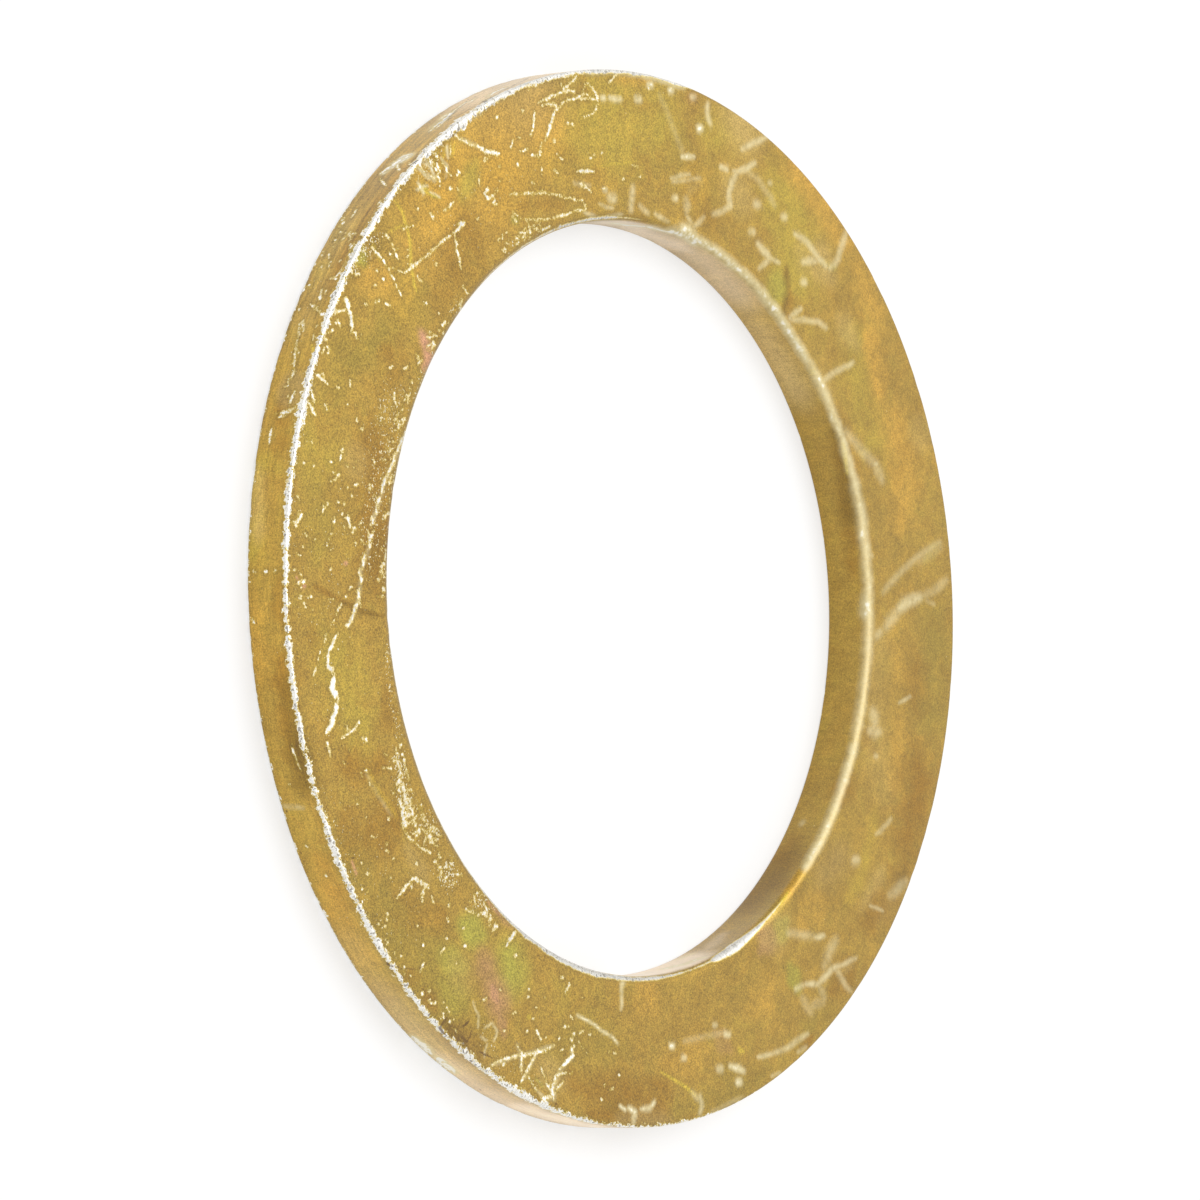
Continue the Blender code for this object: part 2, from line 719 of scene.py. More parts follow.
# Speckled places: how many specks, how far they spread from the line and how wide they are, in
# pixels, then the line
SPECKLED = read_list("""
26 13 1.7 345,225 362,264
80 7 1.6 465,300 430,345 405,400 394,460 388,520 386,580
46 7 1.9 397,745 404,800 416,836
24 6 1.6 414,790 424,815 437,846
14 9 2.0 440,862 458,884
16 9 2.0 470,905 500,935
24 9 1.6 500,245 545,222
18 8 1.5 303,420 297,520 302,620
18 8 1.6 318,350 334,310
34 34 1.4 345,440 345,620
26 34 1.5 350,720 370,840 430,950
24 36 1.5 500,1000 600,1060
34 36 1.4 390,290 450,200 540,150
20 8 1.6 410,170 450,137
6 16 1.5 590,150 650,180
26 9 1.6 352,862 400,966 470,1046
10 7 1.5 330,240 300,320 290,400
""")

# Where an edge is worn smooth rather than torn: width, strength, pixels
CALM = read_list("""
44 1.0 590,70 640,76 690,90 740,110
40 0.6 500,96 540,78 600,68
""")

# Places strewn with flecks too small to draw one by one: width, strength, pixels
FLECKED = read_list("""
16 1.0 396,757 402,785 409,815
18 0.7 412,828 440,852
24 1.05 440,866 452,878
20 0.9 420,815 440,840
14 1.0 478,898 488,908
10 0.8 386,640 391,690 399,740
12 0.7 440,345 412,400 398,450 390,520
34 0.74 395,400 380,470 374,560
20 0.9 352,268 366,250 380,236
22 0.8 418,172 440,150
20 0.6 500,905 480,905 470,915
18 0.5 480,1030 500,1060 560,1090
14 0.7 505,248 545,224
10 0.8 462,298 450,316
12 0.35 300,640 296,520 306,430
12 0.5 320,350 334,310
14 0.4 330,240 300,330 286,400
60 0.3 330,500 330,640 345,740
60 0.3 360,820 400,930
50 0.3 420,260 520,170
10 0.5 320,780 350,870 400,960
""")

# Stretches of the rim that are streaked along it: width, strength, pixels
STREAKED = read_list("""
44 1.0 296,350 325,262 365,196 415,142
50 0.6 415,142 470,102 530,76
30 0.4 296,350 276,420 268,480
34 0.35 268,480 268,620 300,800 380,990 470,1085
""")

# Blotches and coloured lines in the film, by tint, where some brown and umber lines darken the far bore
# wall as painted shade: width, strength, pixels
TINT_MARKS = {
    "olive": read_list("""
84 1.0 562,127 665,128
40 0.6 700,130 735,128
34 0.5 322,405 320,450 312,485
20 0.4 312,510 320,560
32 0.9 335,655 345,700 360,735
44 0.9 775,185 800,235 785,290
28 0.7 850,335 868,415 870,450
20 0.7 922,400 936,445
34 0.5 560,985 590,1005 600,1030
10 0.6 575,1010 600,1028
22 0.8 256,450 253,500 254,560
12 0.7 312,285 326,256 344,222
14 0.6 925,560 940,545
26 0.4 640,1000 625,990
"""),
    "moss": read_list("""
20 0.6 316,480 320,520 316,545
24 1.0 344,368 372,346 400,314 426,288
26 0.7 345,335 333,395
46 1.0 345,860 375,905 402,955
50 1.0 432,962 450,1012
26 0.6 470,1010 485,1040
40 0.8 560,1035 620,1050
22 0.7 718,1080 738,1074
28 0.9 934,615 938,670 930,720
18 0.7 943,480 945,520
28 0.7 705,195 690,165 672,150
14 0.4 600,205 640,200
24 0.8 672,1112 730,1095 765,1072
20 0.7 800,1040 832,1008
14 0.6 318,640 322,600
18 0.6 540,1050 575,1065
10 0.7 425,150 470,118
"""),
    "orange": read_list("""
16 0.5 893,615 898,680
14 0.7 256,610 258,680
10 0.5 903,730 908,745
58 0.65 495,112 490,155 488,205
54 0.9 470,168 440,205 422,248
40 1.0 362,286 388,268
30 0.7 548,132 530,95
26 0.9 790,158 832,215 852,250
15 1.0 869,332 876,368 882,402
22 0.7 856,255 880,320
26 0.8 893,415 906,470 900,525
14 0.7 846,435 857,478
30 0.7 652,988 640,1005
28 0.6 702,1038 690,1062 658,1062
28 0.6 775,990 748,1005
26 0.6 822,903 800,925
16 0.6 425,925 442,915
14 0.7 615,80 655,76
22 0.8 322,862 344,920 368,965
13 0.8 898,712 900,740 892,790
11 0.8 918,738 923,738
10 0.8 904,796 904,802
30 0.7 505,940 515,930
"""),
    "amber": read_list("""
62 0.85 502,116 500,160
44 0.9 548,112 540,145
44 0.6 455,172 440,205
32 0.4 398,308 412,280
30 0.25 600,192 600,170
28 0.5 690,192 700,175
8 1.0 800,870 792,884 784,897
30 0.5 745,315 775,360
"""),
    # These two darken the far bore wall: painted shade
    "brown": read_list("""
40 0.5 372,540 368,590
36 0.5 348,822 352,850
30 0.6 430,912 440,925
40 0.9 600,1092 665,1102
26 0.8 905,862 893,898
34 0.3 898,440 908,475
18 0.5 320,855 345,905
14 0.5 372,190 398,162
20 0.9 832,990 842,976
14 0.8 800,1048 812,1038
20 0.6 850,780 842,800
7 0.8 330,290 340,262 352,240 366,216 384,190 402,168
12 0.5 366,196 384,176
14 0.5 900,876 893,892
30 1.2 378,532 373,570
14 0.8 424,990 434,1010
20 0.5 312,628 318,652
18 0.5 872,728 868,756
14 0.5 372,190 388,168
12 0.5 848,770 855,785
20 0.4 690,190 715,225
26 0.95 372,430 374,490 370,555
22 0.6 392,345 388,380
30 0.7 440,295 462,255 472,228
14 0.5 515,208 575,200
6 0.9 314,586 325,592 336,598 346,604 360,611 383,616
30 0.9 346,770 385,765
40 0.95 398,812 370,842
26 0.6 400,895 432,925
20 0.6 420,975 404,988
30 1.0 448,1030 465,1046 484,1058
30 0.8 570,1083 622,1094
24 1.0 590,1113 660,1116
30 0.95 918,760 914,810 905,850
22 0.5 915,660 915,700
26 0.85 864,928 884,898
22 0.8 838,988 852,962
18 1.0 280,655 285,700 296,765
16 0.8 284,395 281,450
14 0.6 278,570 281,625
10 0.8 786,275 789,318
16 0.7 840,440 848,500 852,570
20 0.9 790,845 765,885 740,910
14 0.6 385,690 388,730
"""),
    # These two darken the far bore wall: painted shade
    "umber": read_list("""
16 0.8 446,1022 452,1034
14 0.5 605,1106 636,1110
14 0.7 904,872 896,890
16 0.4 378,536 374,566
10 0.8 371,193 388,170
6 0.8 787,268 787,290 783,316
20 1.0 292,722 299,755 304,790
12 0.6 286,680 290,720
24 0.5 450,1032 466,1046 482,1056
20 0.7 838,425 846,470 850,520
24 0.7 795,850 768,885 745,910
6 0.7 340,602 360,611 383,616
"""),
    "green": read_list("""
18 0.6 462,196 476,164
32 1.0 462,925 482,936
26 0.5 442,984 462,1004
30 0.6 442,955 462,968
26 1.0 506,948 515,982
26 0.7 778,278 776,296
16 0.7 822,262 834,268
16 0.9 776,940 786,922
18 0.9 790,968 798,988
7 0.9 423,188
3.5 1.0 429,193 433,196 441,198
7 0.9 515,220
15 0.95 356,248 364,262
10 0.8 552,1112 566,1113
5 0.8 536,1079 543,1086
"""),
    "pink": read_list("""
10 1.0 422,333 428,347 430,360 424,368
19 1.0 483,958 492,985 502,1010
12 0.9 500,1012 503,1034
16 0.8 758,930 768,940 760,952
10 0.6 497,912 512,926
3 0.9 296.5,577 299,582
3 0.9 304,586
3 0.9 345.7,563.2
10 0.5 693,97
16 0.4 715,1032 730,1050
"""),
    "rose": read_list("""
8 0.75 421,333 427,347 429,360 423,368
3 0.9 296.5,577 299,582
3 0.9 304,586
4 0.7 345.7,563.2
5 0.6 352,862 356,874
6 0.5 488,902 500,914
7 0.5 492,986 497,1002
"""),
    "pale": read_list("""
32 0.9 732,108 752,138
26 0.7 728,180 748,205
24 0.8 815,252 832,278
22 0.3 878,640 874,740 884,800
12 0.5 884,868 862,908
22 0.6 345,935 372,985
30 0.6 392,1008 428,1046 470,1076
20 0.5 320,258 345,218
34 0.5 765,940 785,925
30 0.25 455,965 470,985
24 0.4 920,425 922,440
30 0.4 360,455 352,470
30 0.8 738,308 768,345 798,395
30 0.4 800,250 812,268
14 0.7 258,470 258,540
14 0.6 408,848 426,882
30 0.6 540,1066 562,1082
20 0.6 840,320 856,345
20 0.6 815,375 830,400
20 0.5 690,190 700,180
14 0.6 852,965 838,972
"""),
    "dull": read_list("""
22 0.5 300,330 325,260 362,200 400,156
30 0.9 296,400 288,380
60 0.8 455,108 520,76
22 0.3 905,880 880,920
24 0.7 620,1120 670,1122
24 0.6 820,880 845,850
"""),
    "beige": read_list("""
22 0.8 604,230 650,236 690,252
30 0.5 690,252 715,272 738,300
24 0.12 750,322 800,400
28 1.6 630,977 668,968 694,958
14 0.35 706,950 722,935
24 0.15 380,990 404,1024 430,1052
26 0.6 430,1052 470,1085 510,1105
26 1.0 515,1106 560,1120 600,1128
30 0.45 460,96 500,80 560,66
"""),
    "yellow": read_list("""
3 0.5 597,166 615,164 636,162
4 0.9 421,186 428,190
3.5 0.9 425,192 431,194 437,197
2.2 1.0 394.5,199.6 403,213.5 407,228 410,242 411,267 416,292
9 1.2 421,188 424,190
2.2 0.8 388,232 400,227 411,225
2.0 0.7 446,146 440,170
2.0 0.7 438,150 432,172
2.0 0.6 455,142 452,158
4 0.5 372,240 380,262
4 0.8 529,1017
4 0.8 740,1051
5 0.8 813,372
3 0.9 788,892 779,906
3 0.9 661,1072 674,1079 687,1088 696,1096
5 0.8 739,1048 744,1052
4 0.9 843,442 848,474
10 0.25 876,809 870,842 858,883 845,906
6 0.8 312,346 316,356
6 0.3 366,770 380,794 396,816
5 0.8 350,255 356,266
"""),
}

# How wide the top outer edge is worn at places along it: width, pixel. Below zero, the film holds.
EDGE_WEAR = read_list("""
8 588,68
7 640,74
4 680,87
-2 700,94
7 529,83
8 500,96
12 484,105
9.5 472,113
13 461,121
12.5 450,130
9 438,140
10 426,152
6 416,162
9 406,173
5 397,184
7.5 388,197
5 380,208
7 372,220
5 363,236
8 354,253
6 342,280
7.5 328,311
5 320,337
4 317,349
6.5 312,361
8 308,376
7 301,409
6 290,480
5.5 287,511
5.5 285,543
5 286,561
4 287,580
4.5 286,600
4.5 288,618
4.5 297,700
4 312,782
5 329,836
5 347,881
5.5 377,943
5 420,1004
7.5 470,1059
8.5 512,1087
8 550,1107
5 588,1122
3 659,1128
-4 819,1038
-5 940,700
-5 940,500
-5 850,250
-2 720,100
""")

# The same for the bore's top edge
BORE_WEAR = read_list("""
3.5 609,219
-2 647,223
-4 690,234
-4 739,269
-6 840,434
-6 863,671
-5 842,774
-3 790,890
1 778,907
3 764,920
8 750,934
8 728,950
6 716,957
1 710,961
1 690,969
6 642,979
8 610,976
9 575,966
9.5 540,945
8 515,925
5 495,903
4 480,880
2 455,842
2 430,790
2 400,700
3 387,640
2.5 386,600
0.5 388,540
1 406,430
1.5 412,405
-1 424,375
-1 460,310
1.5 500,260
2.5 560,228
""")


# From pixels to the ring

CAD_TREE = BVHTree.FromPolygons(
    [vertex.co for vertex in CAD_MESH.vertices], [polygon.vertices for polygon in CAD_MESH.polygons]
)
# The least that a surface is taken to face the camera, where a step in the picture is laid on it
LEAST_FACING = 0.2
# The most that a surface seen at a slant widens a mark on it
MOST_SLANT = 1.6
# A length, in pixels, that is told from none
SOME_LENGTH = 1e-6


def on_ring(pixel):
    """The place and normal that a pixel shows. A pixel just off the ring takes its nearest place."""
    ray = ray_through(pixel)
    place, normal, _, _ = CAD_TREE.ray_cast(CAMERA_PLACE, ray)
    if place is None:
        middle = (section.top + section.bottom) / 2
        abreast = CAMERA_PLACE + ray * ((middle - CAMERA_PLACE.z) / ray.z)
        place, normal, _, _ = CAD_TREE.find_nearest(abreast)
    return place, normal


def pixel_size(place):
    """How wide a pixel is at a place, in metres, straight across the view."""
    return (place - CAMERA_PLACE).dot(CAMERA_FORWARD) / FOCAL_PIXELS


def pixel_step(place, normal, step):
    """The move on the ring's surface that a step in the picture shows, in metres."""
    move = pixel_size(place) * (float(step[0]) * CAMERA_RIGHT - float(step[1]) * CAMERA_UP)
    facing = min(-LEAST_FACING, CAMERA_FORWARD.dot(normal))
    return move - CAMERA_FORWARD * (move.dot(normal) / facing)


def resampled(pixels, spacing, wobble):
    """The pixels of a mark with points between them, each moved a little across the line."""
    walked = [np.array(pixels[0], dtype=float)]
    for start, end in zip(pixels, pixels[1:]):
        start, end = np.array(start, dtype=float), np.array(end, dtype=float)
        span = math.dist(start, end)
        steps = max(1, round(span / spacing))
        across = np.array([start[1] - end[1], end[0] - start[0]]) / max(span, SOME_LENGTH)
        for step in range(1, steps + 1):
            walked.append(start + (end - start) * step / steps + across * random.normal(0, wobble))
    return walked


class Mark:
    """A line on the ring's surface with a half width at each of its points."""

    SOME_RUN_SQUARED = 1e-18
    OUTSIDE = -1.0

    def __init__(self, points, halves, strength):
        self.points = np.array(points, dtype=float).reshape(-1, 3)
        self.halves = np.array(halves, dtype=float)
        self.strength = strength
        self.cell = None

    def inside(self, places):
        """How far each place lies inside the mark's border, negative outside it."""
        if len(self.points) == 1:
            return self.halves[0] - np.linalg.norm(places - self.points[0], axis=1)
        best = np.full(len(places), self.OUTSIDE)
        for start, end, half, half_end in zip(self.points, self.points[1:], self.halves, self.halves[1:]):
            run = end - start
            share = np.clip((places - start) @ run / max(run @ run, self.SOME_RUN_SQUARED), 0, 1)
            gap = places - start - share[:, None] * run
            distance = np.sqrt(np.einsum("ij,ij->i", gap, gap))
            best = np.maximum(best, half + share * (half_end - half) - distance)
        return best

    def near(self, places, reach):
        """The indices of the places within reach of the mark's box."""
        reach = reach + self.halves.max()
        low, high = self.points.min(axis=0) - reach, self.points.max(axis=0) + reach
        return np.flatnonzero(np.all((places > low) & (places < high), axis=1))


def read_mark(width, pixels, strength, spacing=6.0, wobble=0.35, taper=0.45, uneven=0.22):
    """A mark from the photograph's pixels, its ends thinner and its width uneven."""
    if len(pixels) == 1:
        return read_spot(width, pixels[0], strength)
    walked = resampled(pixels, spacing, wobble)
    points, halves = [], []
    for index, pixel in enumerate(walked):
        place, normal = on_ring(pixel)
        ahead = walked[min(index + 1, len(walked) - 1)]
        behind = walked[max(index - 1, 0)]
        along = (ahead - behind) / max(math.dist(ahead, behind), SOME_LENGTH)
        across = pixel_step(place, normal, (-along[1] * width / 2, along[0] * width / 2))
        run = pixel_step(place, normal, along).normalized()
        half = (across - run * across.dot(run)).length
        half = min(half, MOST_SLANT * (pixel_size(place) * width / 2))
        end = index in (0, len(walked) - 1)
        half *= (taper if end else 1.0) * random.uniform(1 - uneven, 1 + uneven)
        points.append(place)
        halves.append(half)
    return Mark(points, halves, strength)


def read_spot(width, pixel, strength):
    """A spot that looks round in the photograph: a short line along the way that it is foreshortened."""
    place, normal = on_ring(pixel)
    sideways = pixel_step(place, normal, (width / 2, 0))
    upwards = pixel_step(place, normal, (0, width / 2))
    longer, shorter = sorted((sideways, upwards), key=lambda step: step.length, reverse=True)
    half = shorter.length
    offset = longer.normalized() * (min(longer.length, MOST_SLANT * half) - half)
    return Mark([place - offset, place + offset], [half, half], strength)


def read_marks(marks, **form):
    return [read_mark(width, pixels, strength, **form) for (width, strength), pixels in marks]


# A bare mark of the first width shows hardly any bright metal, and one of the second is all bright
FAINT_WIDTH, FULL_WIDTH = 1.0, 3.4
# The share of a mark's width that is quite bare, as its ragged border takes the rest
BARE_SHARE = 0.88


def read_bare(width, pixels):
    strength = min(1.0, max(0.0, (width - FAINT_WIDTH) / (FULL_WIDTH - FAINT_WIDTH)))
    return read_mark(BARE_SHARE * width, pixels, strength)


# How much specks vary in width, how many are long and by how many widths, and how strong they are
SPECK_WIDTHS = (0.6, 1.5)
LONG_SPECKS = 0.4
SPECK_REACH = 1.6
SPECK_STRENGTHS = (0.1, 0.7)


def read_specks(count, spread, width, path):
    """Small bare spots strewn about a line of the photograph."""
    specks = []
    for _ in range(int(count)):
        leg = random.integers(len(path) - 1)
        start, end = np.array(path[leg]), np.array(path[leg + 1])
        middle = start + random.random() * (end - start) + random.normal(0, spread / 2, 2)
        size = width * random.uniform(*SPECK_WIDTHS)
        pixels = [middle]
        if random.random() < LONG_SPECKS:
            pixels.append(middle + random.normal(0, SPECK_REACH * width, 2))
        specks.append(read_mark(size, pixels, random.uniform(*SPECK_STRENGTHS)))
    return specks


# Wear where the photograph doesn't look: how many scratches, the range of angle round the ring in
# degrees and the span of the section that they lie on
UNSEEN_WEAR = ((90, (0, 360), 4), (30, (15, 165), 2), (12, (200, 340), 6))
# The share of them that are spots, then the others' numbers of points, step, bend, half widths in mm,
# unevenness and strengths
UNSEEN_SPOTS = 0.6
SCRATCH_STEPS = (3, 9)
SCRATCH_STEP = 0.35 * MM
SCRATCH_BEND = 0.25
SCRATCH_HALVES = (0.03, 0.07)
SCRATCH_UNEVEN = (0.7, 1.1)
SCRATCH_STRENGTHS = (0.2, 0.9)


def unseen_marks():
    """Random scratches and spots on the underside, the far rim and the near side of the bore."""
    marks = []
    for count, (first, last), span in UNSEEN_WEAR:
        for _ in range(count):
            low, high = section.stops[span], section.stops[span + 1]
            angles = [math.radians(random.uniform(first, last))]
            alongs = [random.uniform(low, high)]
            steps = 1 if random.random() < UNSEEN_SPOTS else random.integers(*SCRATCH_STEPS)
            heading = random.uniform(0, math.pi)
            for _ in range(steps - 1):
                heading += random.normal(0, SCRATCH_BEND)
                angles.append(angles[-1] + SCRATCH_STEP * math.cos(heading) / section.outer)
                alongs.append(min(high, max(low, alongs[-1] + SCRATCH_STEP * math.sin(heading))))
            points = section.place(np.array(angles), np.array(alongs))
            halves = random.uniform(*SCRATCH_HALVES) * MM * random.uniform(*SCRATCH_UNEVEN, steps)
            marks.append(Mark(points, halves, random.uniform(*SCRATCH_STRENGTHS)))
    return marks


bare_marks = [read_bare(width, pixels) for (width,), pixels in BARE_MARKS]
for (count, spread, width), path in SPECKLED:
    bare_marks += read_specks(count, spread, width, path)
bare_marks += unseen_marks()
soft_marks_and_sheen = read_marks(SOFT_MARKS_AND_SHEEN, taper=0.7, uneven=0.1)
calm_marks = read_marks(CALM)
fleck_marks = read_marks(FLECKED)
streak_marks = read_marks(STREAKED)
dark_marks = read_marks(DARK_MARKS)
tint_marks = {tint: read_marks(marks, spacing=10) for tint, marks in TINT_MARKS.items()}


def wear_round(listed, edge):
    """A half width in metres by angle round an edge, from listed widths and pixels."""
    radius, z = edge
    up = Vector((0, 0, 1))
    knots = []
    for (width,), (pixel,) in listed:
        ray = ray_through(pixel)
        on_face = CAMERA_PLACE + ray * ((section.top - CAMERA_PLACE.z) / ray.z)
        angle = math.atan2(on_face.y, on_face.x)
        place = Vector((radius * math.cos(angle), radius * math.sin(angle), z))
        sideways = pixel_step(place, up, (width / 2, 0)).length
        upwards = pixel_step(place, up, (0, width / 2)).length
        share = abs(math.sin(angle))
        knots.append((angle, math.copysign(share * sideways + (1 - share) * upwards, width)))
    return np.array(sorted(knots)).T


OUTER_WEAR = wear_round(EDGE_WEAR, EDGE_TOP_OUTER)
BORE_WEAR_ROUND = wear_round(BORE_WEAR, EDGE_TOP_BORE)


def smooth(value):
    value = np.clip(value, 0, 1)
    return value * value * (3 - 2 * value)


LEAST_KNOTS = 8


def ripple(angle, length, radius, seed):
    """Smooth noise from 0 to 1 round the ring, with a knot about each length of it."""
    knots = max(LEAST_KNOTS, round(2 * math.pi * radius / length))
    heights = np.random.default_rng(seed).random(knots)
    position = np.mod(angle, 2 * math.pi) / (2 * math.pi) * knots
    low = np.floor(position).astype(int) % knots
    share = smooth(position - np.floor(position))
    return heights[low] * (1 - share) + heights[(low + 1) % knots] * share


def edge_distance(places, edge):
    radius, z = edge
    return np.hypot(np.hypot(places[:, 0], places[:, 1]) - radius, places[:, 2] - z)


# The mesh: a grid round the section, its edges halved until they suit what is near them

ROUND_STEPS = 180
# Rows along the section's first four spans, as shares of each. The other four have the same ones.
FACE_ROWS = (0, 0.025, 0.08, 0.24, 0.5, 0.76, 0.92, 0.975)
WALL_ROWS = (0, 0.08, 0.3, 0.5, 0.7, 0.92)
HALF_ROWS = (FACE_ROWS, (0, 0.5), WALL_ROWS, (0, 0.25, 0.5, 0.75))
COARSE_CELL = 0.9 * MM
CRISP_CELL = 0.085 * MM
SOFT_CELL = 0.12 * MM
# The cells of a mark as shares of its half width
CRISP_SHARE, SOFT_SHARE = 0.9, 0.8
EDGE_CELL = 0.17 * MM
EDGE_CELLS = (
    (EDGE_TOP_OUTER, EDGE_CELL),
    (EDGE_TOP_BORE, 1.3 * EDGE_CELL),
    (EDGE_BOTTOM_OUTER, 1.6 * EDGE_CELL),
    (EDGE_BOTTOM_BORE, 4 * EDGE_CELL),
)
CELL_GRADE = 1.1
# An edge is never wanted shorter than this share of the smaller cell at its ends
LEAST_SHARE = 0.6
MOST_TRIANGLES = 190000
# Triangles that are kept free for each edge that a pass halves, as its neighbours are halved with it
ROOM_PER_EDGE = 6
LEAST_EDGES = 100


def sized_marks():
    """Every mark with the cell that its width needs."""
    crisp = bare_marks + dark_marks
    soft = soft_marks_and_sheen + sum(tint_marks.values(), [])
    for marks, least, share in ((crisp, CRISP_CELL, CRISP_SHARE), (soft, SOFT_CELL, SOFT_SHARE)):
        for mark in marks:
            mark.cell = max(least, share * float(np.median(mark.halves)))
    return crisp + soft


SIZED_MARKS = sized_marks()


def cell_size(places):
    """The longest edge that suits each place."""
    size = np.full(len(places), COARSE_CELL)
    for edge, cell in EDGE_CELLS:
        size = np.minimum(size, cell + CELL_GRADE * edge_distance(places, edge))
    for mark in SIZED_MARKS:
        if mark.cell >= COARSE_CELL:
            continue
        close = mark.near(places, (COARSE_CELL - mark.cell) / CELL_GRADE)
        if len(close):
            away = np.maximum(0, -mark.inside(places[close]))
            size[close] = np.minimum(size[close], mark.cell + CELL_GRADE * away)
    return size


def wrapped(difference, period):
    """A difference of two places on a closed line, taken the short way round."""
    return difference - period * np.round(difference / period)


def base_grid():
    """Angles, distances along the section and triangles of the grid that the mesh starts from."""
    rows = []
    for shares, low, high in zip(2 * HALF_ROWS, section.stops, section.stops[1:]):
        rows += [low + share * (high - low) for share in shares]
    steps = np.arange(ROUND_STEPS)
    angle = np.repeat(steps * 2 * math.pi / ROUND_STEPS, len(rows))
    along = np.tile(rows, ROUND_STEPS)
    step, row = np.meshgrid(steps, np.arange(len(rows)), indexing="ij")
    next_step, next_row = (step + 1) % ROUND_STEPS, (row + 1) % len(rows)
    here = (step * len(rows) + row).ravel()
    down = (step * len(rows) + next_row).ravel()
    onward = (next_step * len(rows) + row).ravel()
    across = (next_step * len(rows) + next_row).ravel()
    triangles = np.concatenate([np.stack([here, down, across], 1), np.stack([here, across, onward], 1)])
    return angle, along, triangles


def refine(angle, along, triangles):
    """Halves longest edges until each is as short as its place needs, with no open joints."""
    places = section.place(angle, along)
    size = cell_size(places)
    while True:
        pairs = np.sort(triangles[:, [0, 1, 1, 2, 2, 0]].reshape(-1, 2), axis=1)
        keys, side_edge = np.unique(pairs[:, 0] * len(places) + pairs[:, 1], return_inverse=True)
        low, high = keys // len(places), keys % len(places)
        length = np.linalg.norm(places[low] - places[high], axis=1)
        wanted = (size[low] + size[high]) / 2 - CELL_GRADE * length / 2
        wanted = np.maximum(wanted, np.minimum(size[low], size[high]) * LEAST_SHARE)
        need = length / np.maximum(wanted, CRISP_CELL)
        marked = need > 1
        most = (MOST_TRIANGLES - len(triangles)) // ROOM_PER_EDGE
        if not marked.any() or most < LEAST_EDGES:
            break
        if marked.sum() > most:
            marked = need >= np.partition(need, -most)[-most]
        side_edge = side_edge.reshape(-1, 3)
        longest = np.argmax(length[side_edge], axis=1)
        turn = (longest[:, None] + np.arange(3)) % 3
        triangles = np.take_along_axis(triangles, turn, axis=1)
        side_edge = np.take_along_axis(side_edge, turn, axis=1)
        while True:
            split = marked[side_edge].any(axis=1) & ~marked[side_edge[:, 0]]
            if not split.any():
                break
            marked[side_edge[split, 0]] = True
        added = np.cumsum(marked) - 1 + len(places)
        low, high = low[marked], high[marked]
        new_angle = angle[low] + wrapped(angle[high] - angle[low], 2 * math.pi) / 2
        new_along = along[low] + wrapped(along[high] - along[low], section.length) / 2
        triangles = halved(triangles, np.where(marked[side_edge], added[side_edge], -1))
        new_places = section.place(new_angle, new_along)
        angle = np.concatenate([angle, new_angle])
        along = np.concatenate([along, new_along])
        places = np.concatenate([places, new_places])
        size = np.concatenate([size, cell_size(new_places)])
    return angle, along, triangles


def halved(triangles, middle):
    """Triangles split at the middles of their sides. The first side is the longest one."""
    first, second, third = triangles.T
    on_first, on_second, on_third = middle.T
    cut = on_first >= 0
    left_cut, right_cut = cut & (on_third >= 0), cut & (on_second >= 0)
    pieces = (
        (~cut, first, second, third),
        (cut & ~left_cut, third, first, on_first),
        (left_cut, on_first, third, on_third),
        (left_cut, first, on_first, on_third),
        (cut & ~right_cut, second, third, on_first),
        (right_cut, on_first, second, on_second),
        (right_cut, third, on_first, on_second),
    )
    return np.concatenate([np.stack([a[chosen], b[chosen], c[chosen]], 1) for chosen, a, b, c in pieces])


# The worn places, with a painted highlight and painted shade among them, painted on the mesh's points

BARE_UNIT = 0.1 * MM
# The deepest that a faint mark and a full one reach into bare metal, in that unit
FAINT_DEPTH, FULL_DEPTH = -0.2, 1.0
BARE_FAR = 2.0
EDGE_FAR = 6.0
EDGE_MOST = 1.0
# Half of the worn width of the edges that the photograph doesn't show
UNSEEN_EDGE = 0.08 * MM
# The worn line's least width, then its swells: how much, over what length and how far on in the seeds
LEAST_SWELL = 0.45
SWELLS = ((0.35, 1.3 * MM, 0), (0.4, 0.5 * MM, 2))
# The line of painted shade along the bottom outer edge: how far it reaches, its least darkness, and how
# much and how often it swells
EDGE_SHADE_REACH = 0.14 * MM
EDGE_SHADE_LEAST, EDGE_SHADE_MORE = 0.25, 0.5
EDGE_SHADE_WAVE = 1.5 * MM
EDGE_SHADE_SEED = 101


def soft_amount(marks, places):
    """The strongest of the marks at each place, fading out over twice their width."""
    amount = np.zeros(len(places))
    for mark in marks:
        close = mark.near(places, 2 * mark.halves.max())
        if len(close):
            half = float(np.median(mark.halves))
            faded = mark.strength * smooth((mark.inside(places[close]) + half) / (2 * half))
            amount[close] = np.maximum(amount[close], faded)
    return amount


def bare_depth(marks, places):
    """How far inside the bare metal's border each place lies, in units of BARE_UNIT."""
    depth = np.full(len(places), -BARE_FAR)
    for mark in marks:
        close = mark.near(places, BARE_FAR * BARE_UNIT)
        if len(close):
            most = FAINT_DEPTH + mark.strength * (FULL_DEPTH - FAINT_DEPTH)
            inside = np.minimum(mark.inside(places[close]) / BARE_UNIT, most)
            depth[close] = np.maximum(depth[close], inside)
    return depth


